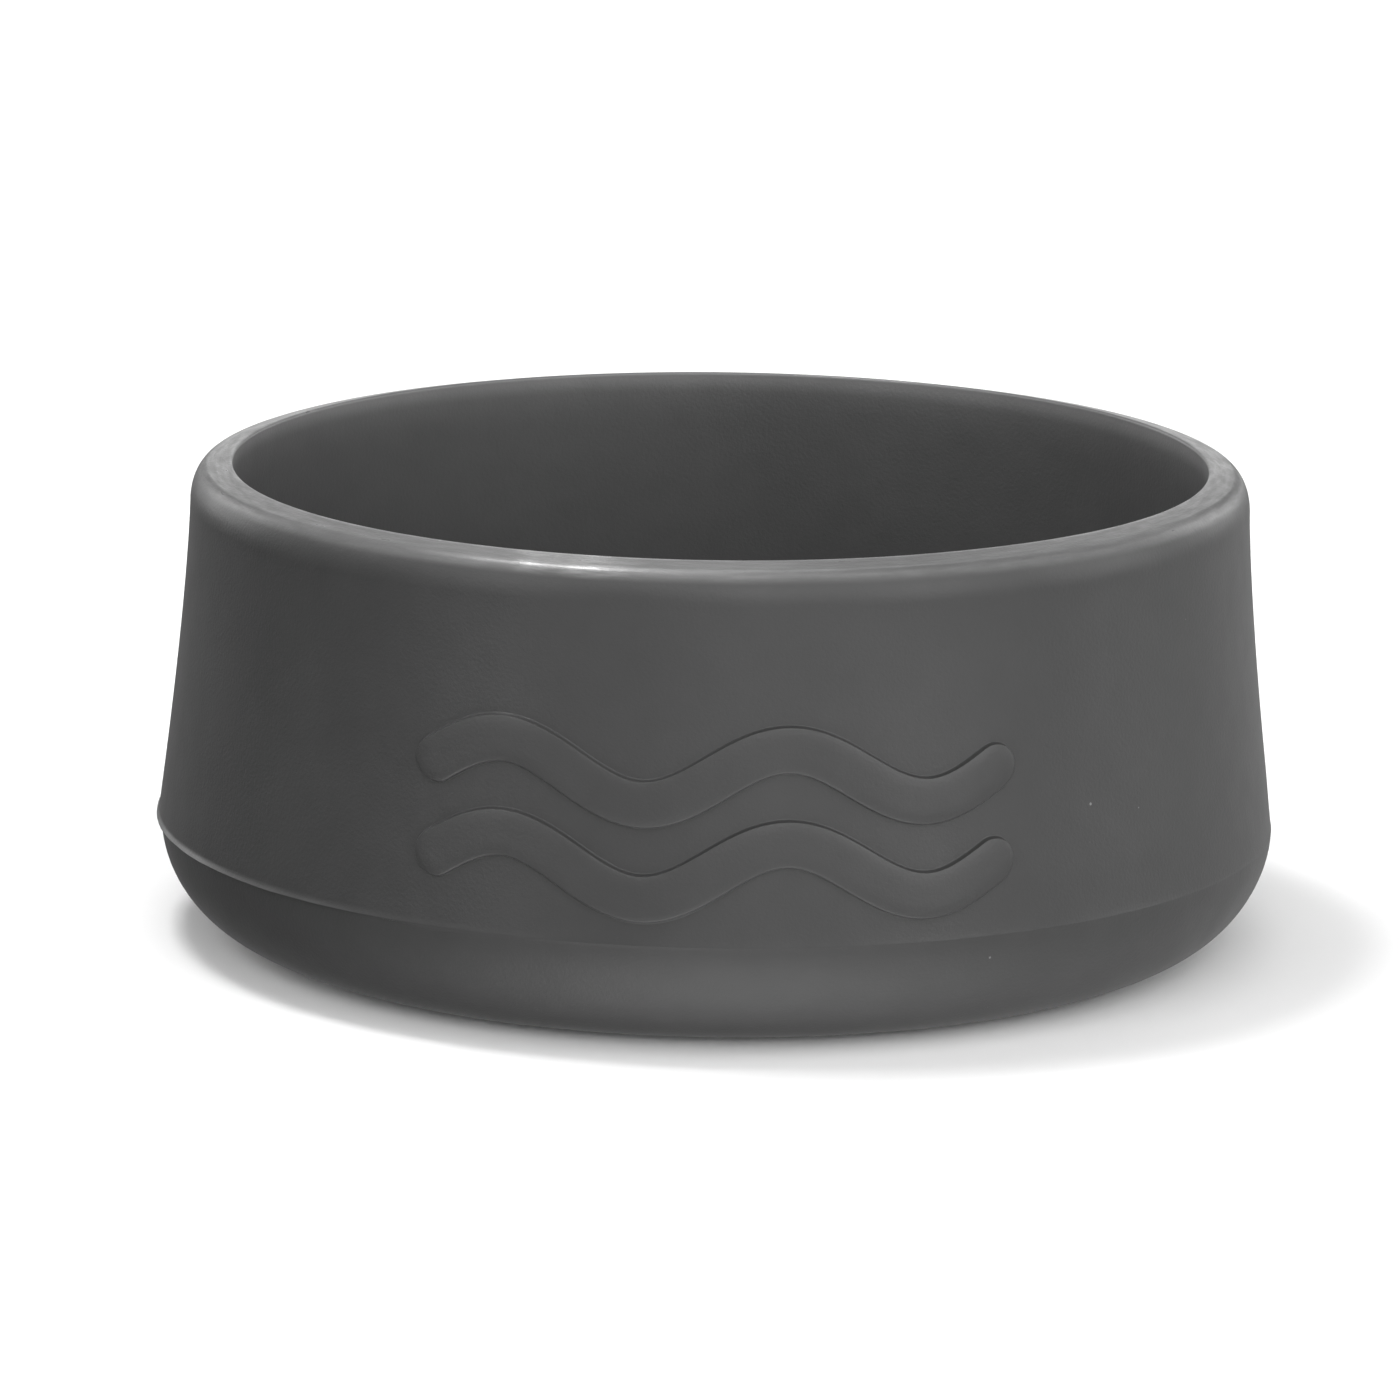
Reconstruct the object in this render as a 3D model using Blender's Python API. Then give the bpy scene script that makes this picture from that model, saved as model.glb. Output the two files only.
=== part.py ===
"""A one-shot moulded silicone boot for the base of a round drinking bottle.

The boot is a turned cup: a flat foot, a quarter-round base corner that ends at the
mould's parting line, a wall that flares gently down to that line, and a rim whose flat
land slopes up from a tight outer corner to the mouth.
A motif of two raised waves stands on the front of the wall. Each wave is a solid of
its own, seated in a shallow pocket in the wall.

Frame: origin at the centre of the foot, +Z up through the mouth, the motif faces -Y.
The driving dimensions are in millimetres, and MM turns them into Blender's metres.
"""

import math

import bmesh
import bpy
from mathutils import Vector

MM = 0.001

# The cup
BORE_R = 32.65
PARTING_R = 37.5
RIM_R = 35.48
HEIGHT = 31.8
BASE_CORNER_R = 7.6
PARTING_Z = BASE_CORNER_R
FLARE_POWER = 1.36
MOUTH_EDGE = 0.2
FLOOR_T = 3.6
SEAT_CORNER_R = 4.0
FOOT_RECESS_R = 24.0
FOOT_RECESS_H = 0.8
FOOT_RECESS_DRAFT = 0.5
FLASH_PROUD = 0.12
FLASH_HALF_H = 0.15

# The rim: an elliptical outer corner that runs smoothly into the sloping land
RIM_CORNER_W = 1.4
RIM_CORNER_H = 2.4
LAND_SLOPE = math.radians(11.5)
CORNER_END = math.atan2(RIM_CORNER_H, RIM_CORNER_W * math.tan(LAND_SLOPE))
LAND_OUTER_R = RIM_R - RIM_CORNER_W * (1 - math.cos(CORNER_END))
LAND_WIDTH = LAND_OUTER_R - BORE_R - MOUTH_EDGE
WALL_TOP = HEIGHT - LAND_WIDTH * math.tan(LAND_SLOPE) - RIM_CORNER_H * math.sin(CORNER_END)

# The raised waves, laid out on the unrolled wall: s runs round it and z up it.
# Each swings up and down twice, and ends half way up, where its line is straight.
WAVE_LENGTH = 40.0
WAVE_PERIODS = 2.0
WAVE_AMPLITUDE = 1.8
WAVE_STROKE = 3.0
WAVE_HEIGHTS = {"wave_relief_upper": 18.4, "wave_relief_lower": 12.4}
WAVE_PROUD = 0.45
WAVE_EDGE = 0.25
POCKET_DEPTH = 0.5
CLEARANCE = 0.3

# How finely curves are divided
TURN_STEPS = 96
CORNER_STEPS = 8
WALL_STEPS = 6
RIM_STEPS = 6
SEAT_STEPS = 5
WAVE_STEPS = 54
CAP_STEPS = 5

SILICONE_COLOUR = (0.075, 0.075, 0.075, 1.0)
SILICONE_ROUGHNESS = 0.58


def clear_scene():
    for obj in list(bpy.data.objects):
        bpy.data.objects.remove(obj)


def silicone_material():
    material = bpy.data.materials.new("dark_grey_silicone")
    material.use_nodes = True
    shader = material.node_tree.nodes["Principled BSDF"]
    shader.inputs["Base Color"].default_value = SILICONE_COLOUR
    shader.inputs["Roughness"].default_value = SILICONE_ROUGHNESS
    shader.inputs["Metallic"].default_value = 0.0
    return material


def wall_radius(z):
    """Outer radius of the flared wall, from the parting line up to the rim's corner."""
    share = min(max((z - PARTING_Z) / (WALL_TOP - PARTING_Z), 0.0), 1.0)
    return PARTING_R + (RIM_R - PARTING_R) * (1 - (1 - share) ** FLARE_POWER)


def arc(centre, width, height, start, end, steps):
    """Points of an elliptical arc in the (r, z) plane, both ends included."""
    points = []
    for i in range(steps + 1):
        angle = math.radians(start + (end - start) * i / steps)
        r = centre[0] + width * math.cos(angle)
        points.append((r, centre[1] + height * math.sin(angle)))
    return points


def cup_profile():
    """The cup's section from the middle of the underside round to the middle of the floor."""
    foot = [
        (0.0, FOOT_RECESS_H),
        (FOOT_RECESS_R, FOOT_RECESS_H),
        (FOOT_RECESS_R + FOOT_RECESS_DRAFT, 0.0),
    ]
    corner_centre = (PARTING_R - BASE_CORNER_R, BASE_CORNER_R)
    corner = arc(corner_centre, BASE_CORNER_R, BASE_CORNER_R, -90, 0, CORNER_STEPS)
    corner[-1] = (PARTING_R, PARTING_Z - FLASH_HALF_H)
    flash = [(PARTING_R + FLASH_PROUD, PARTING_Z)]
    wall = [(wall_radius(PARTING_Z + FLASH_HALF_H), PARTING_Z + FLASH_HALF_H)]
    for i in range(1, WALL_STEPS + 1):
        z = PARTING_Z + (WALL_TOP - PARTING_Z) * i / WALL_STEPS
        wall.append((wall_radius(z), z))
    rim_centre = (RIM_R - RIM_CORNER_W, WALL_TOP)
    rim_end = math.degrees(CORNER_END)
    rim = arc(rim_centre, RIM_CORNER_W, RIM_CORNER_H, 0, rim_end, RIM_STEPS)[1:]
    mouth = [(BORE_R + MOUTH_EDGE, HEIGHT), (BORE_R, HEIGHT - MOUTH_EDGE)]
    seat_centre = (BORE_R - SEAT_CORNER_R, FLOOR_T + SEAT_CORNER_R)
    seat = arc(seat_centre, SEAT_CORNER_R, SEAT_CORNER_R, 0, -90, SEAT_STEPS)
    return foot + corner + flash + wall + rim + mouth + seat + [(0.0, FLOOR_T)]


def add_object(name, bm, material):
    """Turns a bmesh in millimetres into an object in metres, with its faces pointing out."""
    bmesh.ops.scale(bm, vec=Vector((MM, MM, MM)), verts=bm.verts)
    bmesh.ops.recalc_face_normals(bm, faces=bm.faces)
    mesh = bpy.data.meshes.new(name)
    bm.to_mesh(mesh)
    bm.free()
    mesh.materials.append(material)
    mesh.shade_smooth()
    mesh.set_sharp_from_angle(angle=math.radians(35))
    obj = bpy.data.objects.new(name, mesh)
    bpy.context.scene.collection.objects.link(obj)
    return obj


def turned_cup(material):
    """The section spun once round the Z axis."""
    bm = bmesh.new()
    points = [bm.verts.new((r, 0.0, z)) for r, z in cup_profile()]
    edges = [bm.edges.new(pair) for pair in zip(points, points[1:])]
    bmesh.ops.spin(
        bm,
        geom=points + edges,
        cent=(0, 0, 0),
        axis=(0, 0, 1),
        angle=math.tau,
        steps=TURN_STEPS,
        use_merge=True,
    )
    bmesh.ops.remove_doubles(bm, verts=bm.verts, dist=1e-4)
    return add_object("boot_shell", bm, material)


def on_wall(s, z, outward):
    """The point at (s, z) on the unrolled wall, moved outward from it by so much."""
    radius = wall_radius(z) + outward
    angle = s / wall_radius(z)
    return Vector((radius * math.sin(angle), -radius * math.cos(angle), z))


def wave_stations(mid_z, half_stroke):
    """Along the wave's line: (s, z, direction across it in s and z, half width there)."""
    stations = []
    line_length = WAVE_LENGTH - WAVE_STROKE
    turn_per_mm = math.tau * WAVE_PERIODS / line_length
    for i in range(WAVE_STEPS + 1):
        s = line_length * (i / WAVE_STEPS - 0.5)
        turn = turn_per_mm * s
        slope = WAVE_AMPLITUDE * turn_per_mm * math.cos(turn)
        run = math.hypot(1.0, slope)
        across = (-slope / run, 1.0 / run)
        z = mid_z + WAVE_AMPLITUDE * math.sin(turn)
        stations.append((s, z, across, half_stroke))
    return rounded_end(stations[0], -1)[::-1] + stations + rounded_end(stations[-1], 1)


def rounded_end(station, way):
    """Stations that narrow in a half circle beyond the end of a wave's line."""
    s, z, across, half = station
    along = (across[1] * way, -across[0] * way)
    end = []
    for i in range(1, CAP_STEPS + 1):
        angle = math.radians(84) * i / CAP_STEPS
        reach = half * math.sin(angle)
        width = half * math.cos(angle)
        end.append((s + along[0] * reach, z + along[1] * reach, across, width))
    return end


def wave_solid(name, mid_z, grow, inner, outer, edge, material):
    """A strip along the wave, from inner to outer millimetres off the wall.

    grow widens it on each side, and edge is the width of the bevel round its face.
    """
    bm = bmesh.new()
    loops = []
    for s, z, across, half in wave_stations(mid_z, WAVE_STROKE / 2 + grow):
        bevel = min(edge, 0.4 * half)
        section = [
            (-half, inner),
            (-half, outer - bevel),
            (-half + bevel, outer),
            (0.0, outer),
            (half - bevel, outer),
            (half, outer - bevel),
            (half, inner),
            (0.0, inner),
        ]
        loops.append([
            bm.verts.new(on_wall(s + v * across[0], z + v * across[1], outward))
            for v, outward in section
        ])
    for first, second in zip(loops, loops[1:]):
        for i in range(len(first)):
            j = (i + 1) % len(first)
            bm.faces.new((first[i], first[j], second[j], second[i]))
    bm.faces.new(loops[0])
    bm.faces.new(loops[-1][::-1])
    return add_object(name, bm, material)


def cut_pocket(cup, name, mid_z, material):
    """Cuts the seat of one wave into the wall, with clearance behind and around it."""
    above_wall = WAVE_PROUD + 1.0
    cutter = wave_solid(
        name + "_pocket", mid_z, CLEARANCE, -POCKET_DEPTH, above_wall, 0.0, material
    )
    cutter.hide_render = True
    cutter.display_type = "WIRE"
    cut = cup.modifiers.new(name + "_pocket", "BOOLEAN")
    cut.operation = "DIFFERENCE"
    cut.object = cutter


def build():
    clear_scene()
    silicone = silicone_material()
    cup = turned_cup(silicone)
    back_of_wave = CLEARANCE - POCKET_DEPTH
    for name, mid_z in WAVE_HEIGHTS.items():
        wave_solid(name, mid_z, 0.0, back_of_wave, WAVE_PROUD, WAVE_EDGE, silicone)
        cut_pocket(cup, name, mid_z, silicone)


build()
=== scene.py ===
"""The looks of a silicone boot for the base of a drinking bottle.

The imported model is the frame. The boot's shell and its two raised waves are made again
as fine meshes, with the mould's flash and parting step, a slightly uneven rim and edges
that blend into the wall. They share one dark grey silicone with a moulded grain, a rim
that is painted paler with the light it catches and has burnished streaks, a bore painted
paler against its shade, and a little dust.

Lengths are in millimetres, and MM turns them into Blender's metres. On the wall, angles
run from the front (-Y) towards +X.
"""

import math
from types import SimpleNamespace

import bmesh
import bpy
from mathutils import Matrix, Vector, noise


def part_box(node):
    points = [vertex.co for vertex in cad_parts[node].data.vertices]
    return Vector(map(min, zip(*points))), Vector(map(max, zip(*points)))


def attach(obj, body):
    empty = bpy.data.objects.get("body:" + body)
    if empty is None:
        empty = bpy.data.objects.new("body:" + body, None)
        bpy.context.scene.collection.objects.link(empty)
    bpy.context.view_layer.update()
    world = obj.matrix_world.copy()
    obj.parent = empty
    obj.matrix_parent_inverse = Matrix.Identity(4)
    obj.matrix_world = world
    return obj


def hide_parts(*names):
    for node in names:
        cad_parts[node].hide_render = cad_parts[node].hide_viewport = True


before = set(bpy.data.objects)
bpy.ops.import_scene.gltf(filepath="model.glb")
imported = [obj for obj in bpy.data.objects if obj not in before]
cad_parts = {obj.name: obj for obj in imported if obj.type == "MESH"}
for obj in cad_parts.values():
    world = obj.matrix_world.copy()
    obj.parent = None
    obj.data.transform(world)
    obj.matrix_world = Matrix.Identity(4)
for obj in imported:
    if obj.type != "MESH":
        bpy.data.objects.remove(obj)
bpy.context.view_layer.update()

MM = 0.001
SHELL_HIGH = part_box("boot_shell")[1]

# The cup, as in the CAD model
FLASH_PROUD = 0.12
WALL_AT_PARTING = 4.85
WALL_LEAN = 2.02
PARTING_R = SHELL_HIGH.x / MM - FLASH_PROUD
HEIGHT = SHELL_HIGH.z / MM
BORE_R = PARTING_R - WALL_AT_PARTING
RIM_R = PARTING_R - WALL_LEAN
BASE_CORNER_R = 7.6
PARTING_Z = BASE_CORNER_R
FLARE_POWER = 1.36
MOUTH_EDGE_R = 0.2
FLOOR_T = 3.6
SEAT_CORNER_R = 4.0
FOOT_RECESS_R = 24.0
FOOT_RECESS_H = 0.8
FOOT_EDGE_R = 0.25

# The rim: an elliptical outer corner that runs smoothly into a land that rises towards the
# mouth, and a lip, whose arc starts at this angle in degrees
LIP_START = 95
RIM_CORNER_W = 1.4
RIM_CORNER_H = 2.4
LAND_SLOPE = math.radians(11.5)
CORNER_END = math.atan2(RIM_CORNER_H, RIM_CORNER_W * math.tan(LAND_SLOPE))
LAND_OUTER_R = RIM_R - RIM_CORNER_W * (1 - math.cos(CORNER_END))
LAND_WIDTH = LAND_OUTER_R - BORE_R - MOUTH_EDGE_R
LAND_OUTER_Z = HEIGHT - LAND_WIDTH * math.tan(LAND_SLOPE)
WALL_TOP = LAND_OUTER_Z - RIM_CORNER_H * math.sin(CORNER_END)

# What moulding leaves where the mould's halves meet badly: a fin at the parting line, and
# a step between the upper half, which stands proud, and the lower half, which is shy. The
# halves are also shifted a little sideways.
FIN_PROUD = 0.14
FIN_HALF_H = 0.06
FIN_TIP_HALF_H = 0.036
FIN_TIP_EDGE = 0.85
FIN_ROOT_H = 0.12
UPPER_PROUD = 0.06
LOWER_SHY = 0.11
STEP_FADE = 4.0
MOULD_SHIFT = 0.01
SHIFT_FADE = 2.0

# How badly the halves meet, from 0 to 1, and the angles in degrees at which the left and
# the right stretch start, are at their full, start to fade and have gone
MISFIT_ALL_ROUND = 0.02
MISFIT_LEFT = 0.98
MISFIT_RIGHT = 0.05
LEFT_STRETCH = (-170, -120, -58, -24)
RIGHT_STRETCH = (48, 85, 120, 165)

# The fin is ragged by noise that is read round a circle: the circle's radius and height,
# and the fineness and strength of each layer
FIN_NOISE_R = 3
FIN_NOISE_Z = 0.5
FIN_NOISE = ((4, 0.35), (13, 0.2))

# The rim is tilted a little, and noise makes it rise and fall round it
RIM_TILT = math.radians(0.2)
RIM_NOISE = 0.03
RIM_NOISE_Z = 0.3
RIM_NOISE_FINENESS = 1.7

# The raised waves, on the unrolled wall: s runs round it and z up it
WAVE_LENGTH = 40.0
WAVE_PERIODS = 2.0
WAVE_AMPLITUDE = 1.8
WAVE_STROKE = 3.0
WAVE_PROUD = 0.42
WAVE_DOME = 0.07
WAVE_DEPTH = 0.2

# Their sides that face up and left are crisp, and those that face down and right are worn:
# the way that worn sides face in s and z, and each pair's value for crisp and for worn
WORN_WAY = (0.6, -0.8)
WORN_BLEND = 0.6
WAVE_EDGE_R = (0.04, 0.24)
WAVE_FOOT_R = (0.1, 0.06)
WAVE_DRAFT = (math.radians(16), math.radians(6))

# Where the edge's arc starts and the fillet's ends, in degrees, and how far the fillet
# then runs out and into the wall
WAVE_EDGE_START = 78
WAVE_FOOT_END = 268
WAVE_TUCK_OUT = 0.06
WAVE_TUCK_IN = 0.03

# How finely the meshes are divided, and from what angle an edge is sharp
TURN_STEPS = 480
RECESS_STEPS = 5
FOOT_EDGE_STEPS = 4
FOOT_STEPS = 3
CORNER_STEPS = 44
WALL_STEPS = 60
RIM_STEPS = 28
LAND_STEPS = 6
LIP_STEPS = 6
BORE_STEPS = 10
SEAT_STEPS = 12
FLOOR_STEPS = 6
WAVE_STEPS = 300
CAP_STEPS = 24
DOME_STEPS = 10
ARC_STEPS = 7
SHARP_ANGLE = math.radians(60)

# The silicone's grey and how that varies, its roughness and its specular level
BASE_GREY = 0.036
BROAD_SHADES = (0.96, 1.04)
MOTTLE_SHADES = (0.97, 1.03)
ROUGHNESS = (0.4, 0.44)
SPECULAR = 0.5

# How many times paler the silicone is painted, to stand for light and shade: on the rim's
# upper face in streaks, lighter at the corner's sides and darker on the land's sides; in a
# broad and a narrow painted highlight at the rim's front; in the bore, more so towards the
# mouth; and as a painted highlight on the lip. The pairs are for the front and for the sides.
RIM_PAINTED_LIGHT_GAIN = 2.6
RIM_LIGHT_STREAK_SHADES = (0.85, 1.15)
CORNER_PAINTED_SIDE_LIGHT = (1.06, 1.32)
LAND_PAINTED_SIDE_SHADE = (1.0, 0.8)
# The broad painted highlight on the rim's front
BROAD_PAINTED_HIGHLIGHT_GAIN = 1.4
# The narrow, patchy painted highlight, and what it adds on the land
NARROW_PAINTED_HIGHLIGHT_GAIN = 1.7
NARROW_PAINTED_HIGHLIGHT_ON_LAND = 0.4
# Painted light in the bore, growing towards the mouth, and a painted highlight on the lip
BORE_PAINTED_LIGHT_GAIN = 1.8
MOUTH_PAINTED_LIGHT_GAIN = 1.3
LIP_PAINTED_HIGHLIGHT_GAIN = 1.7

# What the rim adds to the roughness, between its streaks and on them, and how much
# smoother it is where it is shiny
BURNISH = (-0.04, -0.14)
SHINY_BURNISH = 0.05

# Where the rim's painted light and burnish, the land's painted light and streaks, the
# mouth's painted light and the lip's painted highlight start and are at their full, in
# millimetres below the top
RIM_DEPTHS = (1.2, 0.55)
LAND_DEPTHS = (0.6, 0.25)
MOUTH_DEPTHS = (4.0, 0.0)
LIP_DEPTHS = (1.5, 0.3)

# What is this little beyond the bore's radius still counts as inside
INSIDE_MARGIN = 0.05

# Along X on the front of the rim, where the broad and the narrow painted highlight's
# stretches start, are at their full, start to fade and have gone (the rim is also smoother
# along the narrow one), and what part of the rim's radius counts as its sides
BROAD_HIGHLIGHT_STRETCH = (-22.0, -14.0, -2.0, 10.0)
SHINY_PAINTED_HIGHLIGHT_STRETCH = (-14.0, -11.5, -8.5, -4.0)
SIDES = (0.6, 0.95)

# How fine the silicone's patterns are, in cells for each metre
BROAD_SCALE = 90.0
MOTTLE_SCALE = 420.0
ROUGHNESS_SCALE = 260.0
STREAK_SCALE = 2100.0
GRAIN_SCALE = 4200.0
WAVY_SCALE = 300.0
DUST_SCALE = 620.0
DUST_PATCH_SCALE = 70.0

# Along the rim, the streaks change this many times as fast as across it
STREAK_STRETCH = 0.2

# The noise values between which each pattern goes from one end to the other
BROAD_SPAN = (0.25, 0.75)
MOTTLE_SPAN = (0.2, 0.8)
ROUGHNESS_SPAN = (0.25, 0.75)
STREAK_SPAN = (0.25, 0.8)
NARROW_HIGHLIGHT_SPAN = (0.3, 0.7)
BURNISH_SPAN = (0.3, 0.75)
DUST_PATCH_SPAN = (0.42, 0.66)

# How deep its relief is
GRAIN_DEPTH = 0.016
WAVY_DEPTH = 0.03
STREAK_DEPTH = 0.025

# The dust: the cells that draw more than this get a speck, up to this part of a cell
DUST_DRAW = 0.86
DUST_SIZE = 0.11
DUST_GREY = 0.3
DUST_COVER = 0.5

# The stage: a round floor that curves up into a low wall
STAGE_GREY = 0.9
STAGE_ROUGHNESS = 0.9
STAGE_SPECULAR = 0.1
STAGE_FLOOR = (0.0, 150.0, 700.0, 1300.0)
STAGE_CURVE_R = 400.0
STAGE_CURVE_STEPS = 16
STAGE_TOP = 900.0
STAGE_STEPS = 96

# Each soft box: its azimuth from the front towards +X and its elevation in degrees, its
# distance and the side of its square face in millimetres, and its watts
SOFT_BOXES = {
    "key": (-109, 73.5, 484, 100, 1.22),
    "back_high": (180, 62, 850, 420, 1.1),
    "right_high": (60, 62, 850, 420, 1.0),
    "back_low": (180, 14, 900, 420, 0.64),
    "back_left_low": (-135, 14, 900, 420, 1.3),
    "back_right_low": (135, 14, 900, 420, 0.97),
    "back_left": (-152, 38, 900, 400, 0.32),
    "back_right": (150, 38, 900, 400, 0.5),
    "left_low": (-90, 14, 900, 420, 0.16),
    "right_low": (90, 14, 900, 420, 1.55),
    "front_left_low": (-45, 14, 900, 420, 0.96),
    "front_right_low": (45, 14, 900, 420, 1.76),
    "left": (-90, 37, 900, 480, 1.2),
    "right": (90, 37, 900, 480, 0.87),
    "front_left": (-45, 37, 900, 480, 1.3),
    "front_right": (45, 37, 900, 480, 1.27),
    "front": (0, 37, 900, 480, 1.5),
    "near_overhead": (0, 67.7, 448, 160, 0.12),
    "near_low": (8.1, 16.3, 442, 160, 0.23),
}

# Soft glows below the horizon, which stand in for the light off the table in the
# silicone's sheen: azimuth, elevation and strength
GLOWS = [
    (0, -50, 1.85),
    (20, -78, 0.5),
    (60, -50, 0.55),
    (90, -15, 0.24),
    (135, -15, 0.38),
    (180, -15, 0.36),
]
GLOW_POWER = 4.0

# The lamp that whitens the floor behind the boot
BACKDROP_PLACE = Vector((0.0, 520.0, 420.0))
BACKDROP_SIZE = (600.0, 120.0)
BACKDROP_SPREAD = math.radians(80)
BACKDROP_WATTS = 1.2

# The camera looks at a point just left of the boot's axis, rolled a little
CAMERA_TARGET = Vector((-1.151, 0.0, 15.38))
CAMERA_DISTANCE = 600.0
CAMERA_ELEVATION = math.radians(12.554)
CAMERA_ROLL = math.radians(0.877)
CAMERA_LENS = 228.9
CAMERA_SENSOR = 36.0
CAMERA_CLIP = (10.0, 20000.0)


def radial(angle):
    """The outward direction at an angle round the boot, as (x, y)."""
    return math.sin(angle), -math.cos(angle)


def arc(centre, width, height, start, end, steps):
    """Points of an elliptical arc in the (r, z) plane, both ends included."""
    points = []
    for i in range(steps + 1):
        angle = math.radians(start + (end - start) * i / steps)
        r = centre[0] + width * math.cos(angle)
        points.append((r, centre[1] + height * math.sin(angle)))
    return points


def between(pair, share):
    """The value at a share of the way from the first of a pair to the second."""
    return pair[0] + (pair[1] - pair[0]) * share


def line(start, end, steps):
    """Points of a straight stretch in the (r, z) plane, without its start."""
    shares = [i / steps for i in range(1, steps + 1)]
    return [
        (between((start[0], end[0]), share), between((start[1], end[1]), share))
        for share in shares
    ]


def smooth_step(low, high, value):
    """0 below low and 1 above high, with a smooth change between them."""
    share = min(max((value - low) / (high - low), 0.0), 1.0)
    return share * share * (3 - 2 * share)


def stretch(value, rise_from, rise_to, fall_from, fall_to):
    """1 along the middle of a stretch and 0 beyond its ends, with smooth changes."""
    return smooth_step(rise_from, rise_to, value) * (1 - smooth_step(fall_from, fall_to, value))


def wall_radius(z):
    """Outer radius of the flared wall, from the parting line up to the rim's corner."""
    share = min(max((z - PARTING_Z) / (WALL_TOP - PARTING_Z), 0.0), 1.0)
    foot = PARTING_R + UPPER_PROUD
    return foot + (RIM_R - foot) * (1 - (1 - share) ** FLARE_POWER)


def misfit(angle):
    """How badly the mould's halves meet at an angle, from 0 to 1."""
    degrees = math.degrees(angle)
    left = MISFIT_LEFT * stretch(degrees, *LEFT_STRETCH)
    right = MISFIT_RIGHT * stretch(degrees, *RIGHT_STRETCH)
    return MISFIT_ALL_ROUND + left + right


def fin_height(angle):
    """How far the flash stands out. It is proud where the mould's halves meet badly."""
    x, y = FIN_NOISE_R * math.sin(angle), FIN_NOISE_R * math.cos(angle)
    here = Vector((x, y, FIN_NOISE_Z))
    ragged = 1 + sum(part * noise.noise(fineness * here) for fineness, part in FIN_NOISE)
    return FIN_PROUD * misfit(angle) * ragged


def underside_profile():
    """From the middle of the underside out to the parting line."""
    edge = FOOT_EDGE_R
    inner_centre = (FOOT_RECESS_R - edge, FOOT_RECESS_H - edge)
    inner = arc(inner_centre, edge, edge, 90, 0, FOOT_EDGE_STEPS)
    outer = arc((FOOT_RECESS_R + 2 * edge, edge), edge, edge, 180, 270, FOOT_EDGE_STEPS)
    corner_centre = (PARTING_R - LOWER_SHY - BASE_CORNER_R, BASE_CORNER_R)
    corner = arc(corner_centre, BASE_CORNER_R, BASE_CORNER_R, -90, 0, CORNER_STEPS)
    middle = (0.0, FOOT_RECESS_H)
    recess = [middle] + line(middle, inner[0], RECESS_STEPS)[:-1]
    foot = line(outer[-1], corner[0], FOOT_STEPS)[:-1]
    return recess + inner + outer + foot + corner[:-1]


def outside_profile():
    """From just above the parting line up the wall and over the rim to the mouth."""
    wall_foot = PARTING_Z + FIN_ROOT_H
    wall = []
    for i in range(WALL_STEPS + 1):
        z = between((wall_foot, WALL_TOP), i / WALL_STEPS)
        wall.append((wall_radius(z), z))
    rim_centre = (RIM_R - RIM_CORNER_W, WALL_TOP)
    turn = math.degrees(CORNER_END)
    rim = arc(rim_centre, RIM_CORNER_W, RIM_CORNER_H, 0, turn, RIM_STEPS)[1:]
    return wall + rim + line(rim[-1], (BORE_R + MOUTH_EDGE_R, HEIGHT), LAND_STEPS)


def inside_profile():
    """From the mouth's inner edge down the bore and across the seat to its middle."""
    edge = MOUTH_EDGE_R
    lip = arc((BORE_R + edge, HEIGHT - edge), edge, edge, LIP_START, 180, LIP_STEPS)[1:]
    seat_centre = (BORE_R - SEAT_CORNER_R, FLOOR_T + SEAT_CORNER_R)
    seat = arc(seat_centre, SEAT_CORNER_R, SEAT_CORNER_R, 0, -90, SEAT_STEPS)
    bore = line(lip[-1], seat[0], BORE_STEPS)[:-1]
    return lip + bore + seat + line(seat[-1], (0, FLOOR_T), FLOOR_STEPS)


def rim_unevenness(angle, rise):
    """How far the surface rises at an angle, growing to its full value at the rim."""
    x, y = radial(angle)
    tilt = math.tan(RIM_TILT) * PARTING_R * x
    here = RIM_NOISE_FINENESS * Vector((x, y, RIM_NOISE_Z))
    return rise * (tilt + RIM_NOISE * noise.noise(here))


def shell_rings():
    """Each ring from foot to seat: its radius, height, sideways shift, part of the fin
    and how far it moves outward where the mould's halves meet well."""
    rings = []
    for r, z in underside_profile():
        mend = LOWER_SHY * smooth_step(PARTING_Z - STEP_FADE, PARTING_Z, z)
        rings.append((r, z, MOULD_SHIFT * smooth_step(0.0, PARTING_Z, z), 0.0, mend))
    low = PARTING_R - LOWER_SHY
    high = PARTING_R + UPPER_PROUD
    tip = FIN_TIP_HALF_H
    rings.append((low, PARTING_Z - FIN_HALF_H, MOULD_SHIFT, 0.0, LOWER_SHY))
    rings.append((high, PARTING_Z - tip, 0.0, FIN_TIP_EDGE, -UPPER_PROUD))
    rings.append((high, PARTING_Z, 0.0, 1.0, -UPPER_PROUD))
    rings.append((high, PARTING_Z + tip, -MOULD_SHIFT, FIN_TIP_EDGE, -UPPER_PROUD))
    for r, z in outside_profile():
        mend = UPPER_PROUD * (smooth_step(PARTING_Z, PARTING_Z + STEP_FADE, z) - 1)
        rings.append((r, z, -MOULD_SHIFT, 0.0, mend))
    for r, z in inside_profile():
        shift = -MOULD_SHIFT * smooth_step(HEIGHT - SHIFT_FADE, HEIGHT, z)
        rings.append((r, z, shift, 0.0, 0.0))
    return rings


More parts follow.
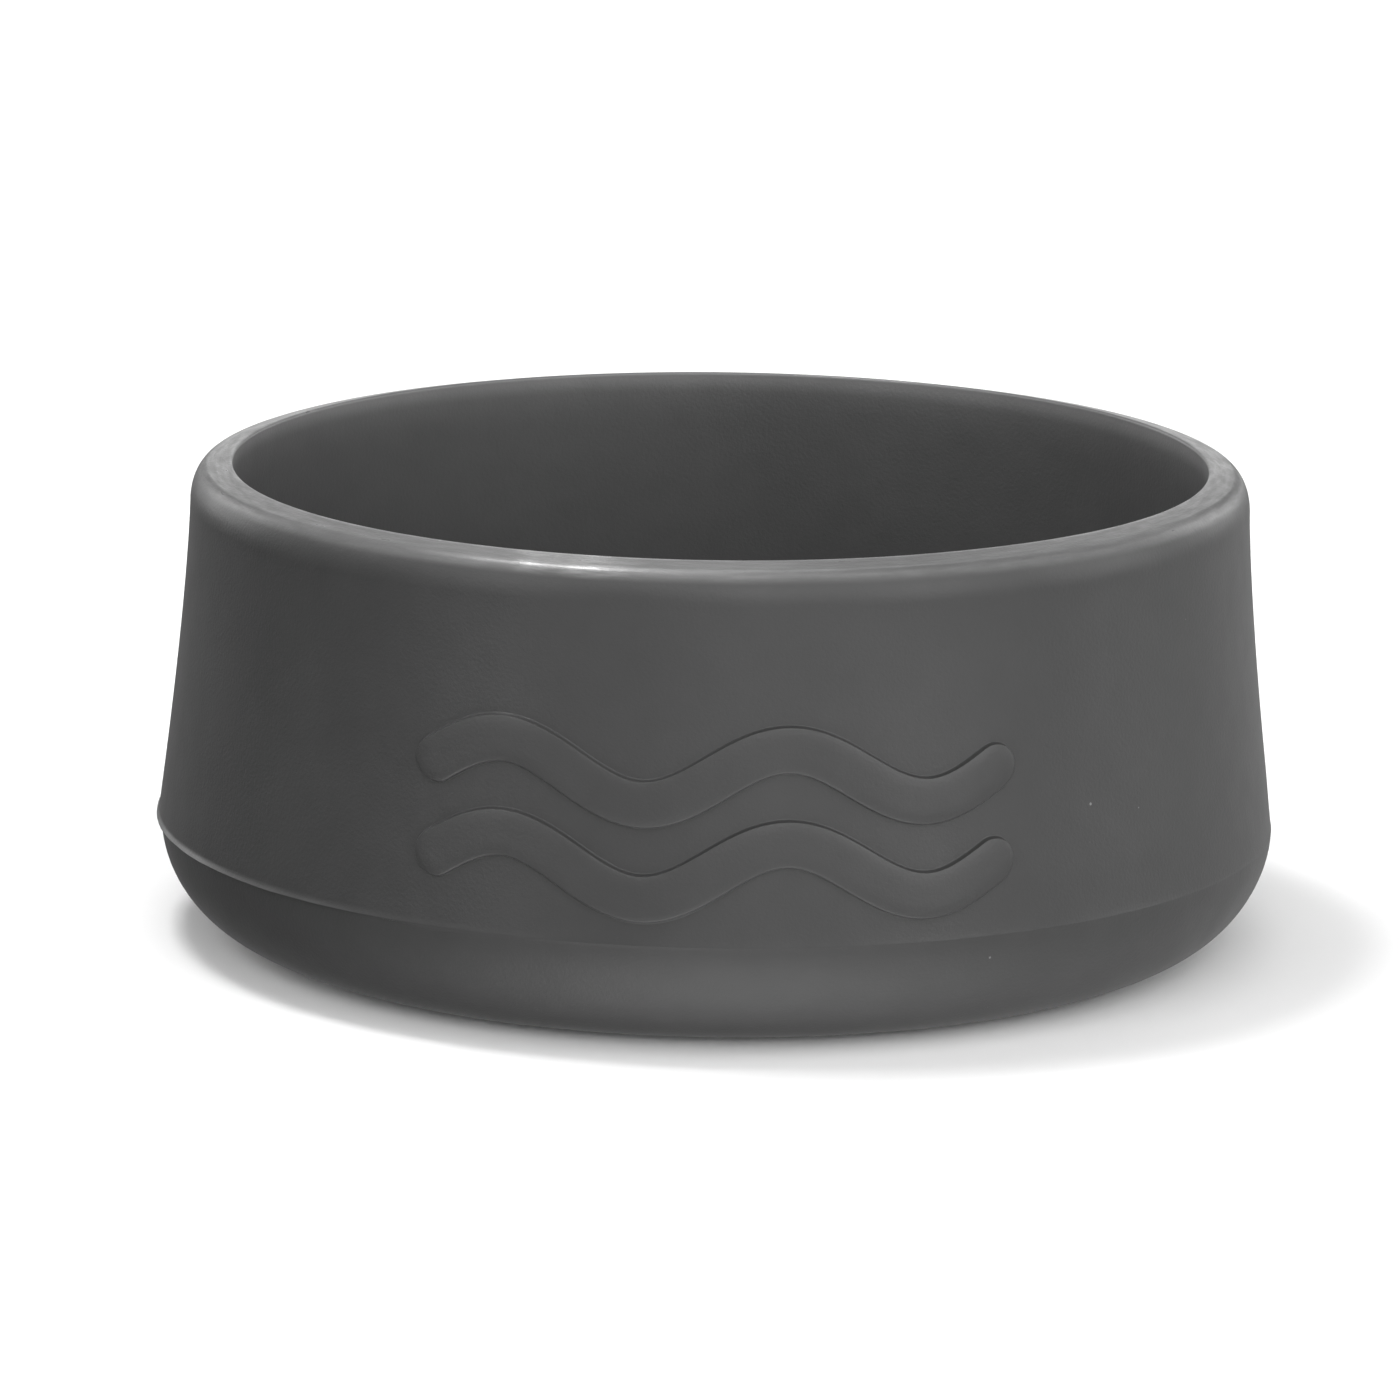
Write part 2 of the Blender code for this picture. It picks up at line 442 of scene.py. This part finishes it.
def shell_mesh():
    """The whole shell as one closed skin of rings, with a single point at each end."""
    angles = [math.tau * (i + 0.5) / TURN_STEPS - math.pi for i in range(TURN_STEPS)]
    fins = [fin_height(angle) for angle in angles]
    fits = [1 - misfit(angle) for angle in angles]
    rings = shell_rings()
    verts = [(0.0, 0.0, rings[0][1])]
    for r, z, shift, fin, mend in rings[1:-1]:
        rise = smooth_step(PARTING_Z, HEIGHT, z)
        for angle, proud, fit in zip(angles, fins, fits):
            x, y = radial(angle)
            out = r + fin * proud + mend * fit
            verts.append((out * x + shift, out * y, z + rim_unevenness(angle, rise)))
    verts.append((0.0, 0.0, rings[-1][1]))
    count = len(rings) - 2
    last = len(verts) - 1
    faces = []
    for i in range(TURN_STEPS):
        j = (i + 1) % TURN_STEPS
        faces.append((0, 1 + j, 1 + i))
        for k in range(count - 1):
            low = 1 + k * TURN_STEPS
            high = low + TURN_STEPS
            faces.append((low + i, low + j, high + j, high + i))
        top = 1 + (count - 1) * TURN_STEPS
        faces.append((top + i, top + j, last))
    return verts, faces


def wave_point(s, z, outward):
    """The point at (s, z) on the unrolled wall, moved outward from it by so much."""
    radius = wall_radius(z) + outward
    x, y = radial(s / wall_radius(z))
    return radius * x - MOULD_SHIFT, radius * y, z


def wave_ribs(mid_z):
    """The wave's outline as ribs: (s, z) on its line and the (s, z) direction outward."""
    line_length = WAVE_LENGTH - WAVE_STROKE
    turn_per_mm = math.tau * WAVE_PERIODS / line_length
    upper, lower = [], []
    for i in range(WAVE_STEPS + 1):
        s = line_length * (i / WAVE_STEPS - 0.5)
        turn = turn_per_mm * s
        slope = WAVE_AMPLITUDE * turn_per_mm * math.cos(turn)
        run = math.hypot(1.0, slope)
        z = mid_z + WAVE_AMPLITUDE * math.sin(turn)
        upper.append((s, z, -slope / run, 1 / run))
        lower.append((s, z, slope / run, -1 / run))
    return upper[::-1] + end_ribs(upper[0]) + lower + end_ribs(lower[-1])


def end_ribs(rib):
    """Ribs that turn half way round one end of a wave's line, to round it off."""
    s, z, out_s, out_z = rib
    ribs = []
    for i in range(1, CAP_STEPS):
        angle = math.pi * i / CAP_STEPS
        cos, sin = math.cos(angle), math.sin(angle)
        ribs.append((s, z, cos * out_s - sin * out_z, sin * out_s + cos * out_z))
    return ribs


def rib_section(worn):
    """Half of the wave's section: (distance from its line, height off the wall).

    A faintly domed face, a rounded edge, a side with some draft and a fillet, whose end
    tucks into the wall. The edge is crisp where worn is 0, and round where it is 1.
    """
    edge_r = between(WAVE_EDGE_R, worn)
    foot_r = between(WAVE_FOOT_R, worn)
    lean = between(WAVE_DRAFT, worn)
    draft = math.degrees(lean)
    edge_top = WAVE_PROUD - WAVE_DOME
    side_h = edge_top - (edge_r + foot_r) * (1 - math.sin(lean))
    side_w = side_h * math.tan(lean)
    edge_x = WAVE_STROKE / 2 - side_w / 2
    edge_centre = (edge_x - edge_r * math.cos(lean), edge_top - edge_r)
    foot_x = edge_x + side_w + foot_r * math.cos(lean)
    face = []
    for i in range(1, DOME_STEPS):
        share = i / DOME_STEPS
        face.append((edge_centre[0] * share, WAVE_PROUD - WAVE_DOME * share ** 4))
    edge = arc(edge_centre, edge_r, edge_r, WAVE_EDGE_START, draft, ARC_STEPS)
    foot_centre = (foot_x, foot_r)
    foot = arc(foot_centre, foot_r, foot_r, 180 + draft, WAVE_FOOT_END, ARC_STEPS)
    tucked = [(foot_x + WAVE_TUCK_OUT, -WAVE_TUCK_IN), (foot_x, -WAVE_DEPTH)]
    return face + edge + foot + tucked


def wave_mesh(mid_z):
    """A raised strip along the wave, with round ends and its underside in the wall."""
    bm = bmesh.new()
    loops = []
    for s, z, out_s, out_z in wave_ribs(mid_z):
        top = bm.verts.new(wave_point(s, z, WAVE_PROUD))
        faces_worn_way = WORN_WAY[0] * out_s + WORN_WAY[1] * out_z
        worn = smooth_step(-WORN_BLEND, WORN_BLEND, faces_worn_way)
        rib = [
            bm.verts.new(wave_point(s + d * out_s, z + d * out_z, h))
            for d, h in rib_section(worn)
        ]
        bottom = bm.verts.new(wave_point(s, z, -WAVE_DEPTH))
        loops.append([top] + rib + [bottom])
    for first, second in zip(loops, loops[1:] + loops[:1]):
        for i in range(len(first) - 1):
            bm.faces.new((first[i], second[i], second[i + 1], first[i + 1]))
    bmesh.ops.remove_doubles(bm, verts=bm.verts, dist=1e-4)
    bmesh.ops.recalc_face_normals(bm, faces=bm.faces)
    bm.verts.index_update()
    verts = [tuple(v.co) for v in bm.verts]
    faces = [tuple(v.index for v in f.verts) for f in bm.faces]
    bm.free()
    return verts, faces


def add_piece(name, verts, faces, material, node):
    """Makes an object of a mesh in millimetres, and lets it stand for a CAD node."""
    mesh = bpy.data.meshes.new(name)
    mesh.from_pydata([(x * MM, y * MM, z * MM) for x, y, z in verts], [], faces)
    mesh.update()
    mesh.shade_smooth()
    mesh.set_sharp_from_angle(angle=SHARP_ANGLE)
    mesh.materials.append(material)
    piece = bpy.data.objects.new(name, mesh)
    bpy.context.scene.collection.objects.link(piece)
    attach(piece, "root")
    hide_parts(node)


class Nodes:
    """Short calls that add shader nodes to a tree and link them."""

    def __init__(self, tree):
        self.tree = tree

    def add(self, kind, inputs=None, **settings):
        node = self.tree.nodes.new(kind)
        for key, value in settings.items():
            setattr(node, key, value)
        for key, value in (inputs or {}).items():
            if isinstance(value, bpy.types.NodeSocket):
                self.link(value, node.inputs[key])
            else:
                node.inputs[key].default_value = value
        return node

    def link(self, output, socket):
        self.tree.links.new(output, socket)

    def math(self, operation, first, second):
        node = self.add("ShaderNodeMath", {0: first, 1: second}, operation=operation)
        return node.outputs[0]

    def product(self, first, *others):
        for other in others:
            first = self.math("MULTIPLY", first, other)
        return first

    def join(self, x, y, z):
        """One vector of three values."""
        node = self.add("ShaderNodeCombineXYZ", {"X": x, "Y": y, "Z": z})
        return node.outputs["Vector"]

    def mix(self, share, first, second):
        """The first value at share 0, and the second at share 1."""
        inputs = {0: share, 2: first, 3: second}
        return self.add("ShaderNodeMix", inputs, data_type="FLOAT").outputs[0]

    def noise(self, vector, scale, detail=2.0, roughness=0.5):
        inputs = {"Vector": vector, "Scale": scale, "Detail": detail}
        inputs["Roughness"] = roughness
        return self.add("ShaderNodeTexNoise", inputs).outputs["Fac"]

    def ramp(self, value, span, to=(0.0, 1.0)):
        """Maps a value that goes along a span to another span, smoothly and clamped."""
        inputs = {"Value": value, "From Min": span[0], "From Max": span[1]}
        inputs.update({"To Min": to[0], "To Max": to[1]})
        node = self.add("ShaderNodeMapRange", inputs, interpolation_type="SMOOTHSTEP")
        return node.outputs["Result"]

    def below_top(self, z, depths, to=(0.0, 1.0)):
        """A ramp between two depths in millimetres below the boot's top."""
        return self.ramp(z, [(HEIGHT - depth) * MM for depth in depths], to)

    def stretch(self, value, rise_from, rise_to, fall_from, fall_to):
        """1 along the middle of a stretch in millimetres, and 0 beyond its ends."""
        rise = self.ramp(value, (rise_from * MM, rise_to * MM))
        fall = self.ramp(value, (fall_from * MM, fall_to * MM))
        return self.math("SUBTRACT", rise, fall)

    def bump(self, height, depth, normal=None):
        """A normal tilted by a height of 0 to 1, which stands for so many millimetres."""
        inputs = {"Height": height, "Distance": depth * MM, "Strength": 1.0}
        if normal is not None:
            inputs["Normal"] = normal
        return self.add("ShaderNodeBump", inputs).outputs["Normal"]


def silicone_masks(n):
    """Where on the boot a point is. Each mask is 1 in its place and 0 elsewhere."""
    place = n.add("ShaderNodeTexCoord").outputs["Object"]
    axes = n.add("ShaderNodeSeparateXYZ", {0: place}).outputs
    x, y, z = axes["X"], axes["Y"], axes["Z"]
    radius = n.add("ShaderNodeVectorMath", {0: n.join(x, y, 0.0)}, operation="LENGTH")
    radius = radius.outputs["Value"]
    inside = n.math("LESS_THAN", radius, (BORE_R + INSIDE_MARGIN) * MM)
    outside = n.math("SUBTRACT", 1.0, inside)
    front = n.math("LESS_THAN", y, 0.0)
    side_places = [part * RIM_R * MM for part in SIDES]
    slow_x, slow_y = n.product(x, STREAK_STRETCH), n.product(y, STREAK_STRETCH)
    along_rim = n.join(slow_x, slow_y, n.math("SUBTRACT", z, radius))
    return SimpleNamespace(
        place=place,
        z=z,
        inside=inside,
        rim=n.product(n.below_top(z, RIM_DEPTHS), outside),
        land=n.product(n.below_top(z, LAND_DEPTHS), outside),
        sides=n.ramp(n.math("ABSOLUTE", x, 0.0), side_places),
        # where a broad highlight is painted on the rim's front
        broad_painted_highlight=n.product(n.stretch(x, *BROAD_HIGHLIGHT_STRETCH), front),
        # where a narrow highlight is painted on the rim, which is also smoother there
        shiny_painted_highlight=n.product(n.stretch(x, *SHINY_PAINTED_HIGHLIGHT_STRETCH), front),
        streaks=n.noise(along_rim, STREAK_SCALE, detail=3.0, roughness=0.6),
    )


def silicone_grey(n, at):
    """The grey: a little mottled, with light painted in on the rim and in the bore."""
    broad = n.noise(at.place, BROAD_SCALE, detail=3.0)
    broad = n.ramp(broad, BROAD_SPAN, BROAD_SHADES)
    mottle = n.ramp(n.noise(at.place, MOTTLE_SCALE), MOTTLE_SPAN, MOTTLE_SHADES)
    # Painted light: the rim's upper face is painted paler in streaks, and at the sides the
    # corner is painted lighter and the land darker
    streaked_rim_light = n.ramp(at.streaks, STREAK_SPAN, [shade * RIM_PAINTED_LIGHT_GAIN for shade in RIM_LIGHT_STREAK_SHADES])
    rim_part_painted_light = n.mix(at.land, n.mix(at.sides, *CORNER_PAINTED_SIDE_LIGHT), n.mix(at.sides, *LAND_PAINTED_SIDE_SHADE))
    # Painted highlight: a broad stretch of the rim's front is painted paler
    broad_painted_highlight = n.mix(at.broad_painted_highlight, 1.0, BROAD_PAINTED_HIGHLIGHT_GAIN)
    # Painted highlight: a narrow, patchy stretch of the rim's front is painted paler, more so
    # on the land
    patchy_painted_highlight = n.ramp(at.streaks, NARROW_HIGHLIGHT_SPAN, (1.0, NARROW_PAINTED_HIGHLIGHT_GAIN))
    patchy_painted_highlight = n.math("ADD", patchy_painted_highlight, n.product(at.land, NARROW_PAINTED_HIGHLIGHT_ON_LAND))
    shiny_painted_highlight = n.mix(at.shiny_painted_highlight, 1.0, patchy_painted_highlight)
    rim_painted_light = n.mix(at.rim, 1.0, n.product(streaked_rim_light, rim_part_painted_light, broad_painted_highlight, shiny_painted_highlight))
    # Painted light: the bore is painted paler against its shade, more so towards the mouth, and
    # the lip's edge gets a painted highlight
    mouth = n.below_top(at.z, MOUTH_DEPTHS, (BORE_PAINTED_LIGHT_GAIN, MOUTH_PAINTED_LIGHT_GAIN * BORE_PAINTED_LIGHT_GAIN))
    lip = n.below_top(at.z, LIP_DEPTHS, (1.0, LIP_PAINTED_HIGHLIGHT_GAIN))
    painted_light = n.mix(at.inside, rim_painted_light, n.product(mouth, lip))
    return n.product(broad, mottle, painted_light, BASE_GREY)


def dusty(n, place, grey):
    """The grey with lint and dust on it: small pale specks that gather in patches."""
    cells = n.add("ShaderNodeTexVoronoi", {"Vector": place, "Scale": DUST_SCALE})
    draws = n.add("ShaderNodeSeparateColor", {0: cells.outputs["Color"]}).outputs
    chosen = n.math("GREATER_THAN", draws["Red"], DUST_DRAW)
    patches = n.ramp(n.noise(place, DUST_PATCH_SCALE), DUST_PATCH_SPAN)
    size = n.product(chosen, draws["Green"], patches, DUST_SIZE)
    speck = n.math("LESS_THAN", cells.outputs["Distance"], size)
    return n.mix(n.product(speck, DUST_COVER), grey, DUST_GREY)


def silicone_roughness(n, at):
    """The roughness: a little uneven, and lower on the burnished rim."""
    uneven = n.noise(at.place, ROUGHNESS_SCALE, detail=3.0)
    uneven = n.ramp(uneven, ROUGHNESS_SPAN, ROUGHNESS)
    burnish = n.ramp(at.streaks, BURNISH_SPAN, BURNISH)
    burnish = n.math("SUBTRACT", burnish, n.product(at.shiny_painted_highlight, SHINY_BURNISH))
    return n.math("ADD", uneven, n.product(at.rim, burnish))


def silicone_relief(n, at):
    """The normal: a slow waviness, the mould's grain and the streaks of the land."""
    wavy = n.noise(at.place, WAVY_SCALE, detail=1.0)
    grain = n.noise(at.place, GRAIN_SCALE, roughness=0.6)
    normal = n.bump(grain, GRAIN_DEPTH, n.bump(wavy, WAVY_DEPTH))
    ridges = n.product(at.land, n.math("SUBTRACT", at.streaks, 0.5))
    return n.bump(ridges, STREAK_DEPTH, normal)


def silicone_material():
    """Dark grey moulded silicone, with painted light on its rim and bore, and a little dust."""
    material = bpy.data.materials.new("silicone")
    material.use_nodes = True
    n = Nodes(material.node_tree)
    at = silicone_masks(n)
    grey = dusty(n, at.place, silicone_grey(n, at))
    colour = n.add("ShaderNodeCombineColor", {"Red": grey, "Green": grey, "Blue": grey})
    shader = material.node_tree.nodes["Principled BSDF"].inputs
    n.link(colour.outputs[0], shader["Base Color"])
    n.link(silicone_roughness(n, at), shader["Roughness"])
    n.link(silicone_relief(n, at), shader["Normal"])
    shader["Specular IOR Level"].default_value = SPECULAR
    return material


def paper_material():
    """The stage's plain pale paper."""
    material = bpy.data.materials.new("stage_paper")
    material.use_nodes = True
    shader = material.node_tree.nodes["Principled BSDF"].inputs
    shader["Base Color"].default_value = (STAGE_GREY, STAGE_GREY, STAGE_GREY, 1.0)
    shader["Roughness"].default_value = STAGE_ROUGHNESS
    shader["Specular IOR Level"].default_value = STAGE_SPECULAR
    return material


def add_stage():
    """A pale floor that curves up into a low wall all round."""
    curve_centre = (STAGE_FLOOR[-1], STAGE_CURVE_R)
    curve = arc(curve_centre, STAGE_CURVE_R, STAGE_CURVE_R, -90, 0, STAGE_CURVE_STEPS)
    wall_top = (STAGE_FLOOR[-1] + STAGE_CURVE_R, STAGE_TOP)
    profile = [(r, 0.0) for r in STAGE_FLOOR] + curve[1:] + [wall_top]
    bm = bmesh.new()
    points = [bm.verts.new((r * MM, 0.0, z * MM)) for r, z in profile]
    edges = [bm.edges.new(pair) for pair in zip(points, points[1:])]
    bmesh.ops.spin(
        bm,
        geom=points + edges,
        cent=(0, 0, 0),
        axis=(0, 0, 1),
        angle=math.tau,
        steps=STAGE_STEPS,
        use_merge=True,
    )
    bmesh.ops.remove_doubles(bm, verts=bm.verts, dist=1e-6)
    bmesh.ops.recalc_face_normals(bm, faces=bm.faces)
    mesh = bpy.data.meshes.new("stage_floor")
    bm.to_mesh(mesh)
    bm.free()
    mesh.shade_smooth()
    mesh.materials.append(paper_material())
    floor = bpy.data.objects.new("stage_floor", mesh)
    floor.visible_glossy = False
    bpy.context.scene.collection.objects.link(floor)


def direction(azimuth, elevation):
    """A unit vector, from angles in degrees."""
    x, y = radial(math.radians(azimuth))
    rise = math.radians(elevation)
    return Vector((x * math.cos(rise), y * math.cos(rise), math.sin(rise)))


def add_backdrop_light():
    """A lamp that hangs over the floor far behind the boot and faces straight down. The
    camera and the silicone's sheen don't see it."""
    light = bpy.data.lights.new("backdrop", "AREA")
    light.shape = "RECTANGLE"
    light.size, light.size_y = [side * MM for side in BACKDROP_SIZE]
    light.spread = BACKDROP_SPREAD
    light.energy = BACKDROP_WATTS
    lamp = bpy.data.objects.new("backdrop", light)
    lamp.location = BACKDROP_PLACE * MM
    lamp.visible_camera = False
    lamp.visible_glossy = False
    bpy.context.scene.collection.objects.link(lamp)


def add_lights():
    """The soft boxes, each facing the middle of the boot and unseen by the camera."""
    centre = Vector((0.0, 0.0, HEIGHT / 2))
    for name, (azimuth, elevation, distance, side, watts) in SOFT_BOXES.items():
        light = bpy.data.lights.new(name, "AREA")
        light.shape = "SQUARE"
        light.size = side * MM
        light.energy = watts
        way = direction(azimuth, elevation)
        lamp = bpy.data.objects.new(name, light)
        lamp.location = (centre + distance * way) * MM
        lamp.rotation_euler = way.to_track_quat("Z", "Y").to_euler()
        lamp.visible_camera = False
        bpy.context.scene.collection.objects.link(lamp)


def add_world():
    """A dark room with the glows in it, each fading out to a quarter turn away."""
    world = bpy.data.worlds.new("studio")
    world.use_nodes = True
    n = Nodes(world.node_tree)
    way = n.add("ShaderNodeTexCoord").outputs["Generated"]
    total = 0.0
    for azimuth, elevation, strength in GLOWS:
        inputs = {0: way, 1: direction(azimuth, elevation)}
        facing = n.add("ShaderNodeVectorMath", inputs, operation="DOT_PRODUCT")
        facing = n.math("MAXIMUM", facing.outputs["Value"], 0.0)
        glow = n.product(n.math("POWER", facing, GLOW_POWER), strength)
        total = n.math("ADD", glow, total)
    background = world.node_tree.nodes["Background"].inputs
    background["Color"].default_value = (1.0, 1.0, 1.0, 1.0)
    n.link(total, background["Strength"])
    bpy.context.scene.world = world


def add_camera():
    """The camera stands straight in front of the boot and looks slightly down at it."""
    back = Vector((0.0, -math.cos(CAMERA_ELEVATION), math.sin(CAMERA_ELEVATION)))
    place = Vector((0.0, 0.0, CAMERA_TARGET.z)) + CAMERA_DISTANCE * back
    aim = (CAMERA_TARGET - place).to_track_quat("-Z", "Y").to_matrix()
    turned = aim @ Matrix.Rotation(CAMERA_ROLL, 3, "Z")
    data = bpy.data.cameras.new("camera")
    data.lens = CAMERA_LENS
    data.sensor_width = CAMERA_SENSOR
    data.clip_start, data.clip_end = [distance * MM for distance in CAMERA_CLIP]
    camera = bpy.data.objects.new("camera", data)
    camera.matrix_world = Matrix.Translation(place * MM) @ turned.to_4x4()
    bpy.context.scene.collection.objects.link(camera)
    bpy.context.scene.camera = camera


def build():
    add_camera()
    add_lights()
    add_backdrop_light()
    add_world()
    add_stage()
    bpy.context.scene.view_settings.view_transform = "Standard"
    silicone = silicone_material()
    verts, faces = shell_mesh()
    add_piece("boot", verts, faces, silicone, "boot_shell")
    for node in ("wave_relief_upper", "wave_relief_lower"):
        low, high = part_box(node)
        verts, faces = wave_mesh((low.z + high.z) / 2 / MM)
        add_piece(node.replace("relief", "raised"), verts, faces, silicone, node)


build()
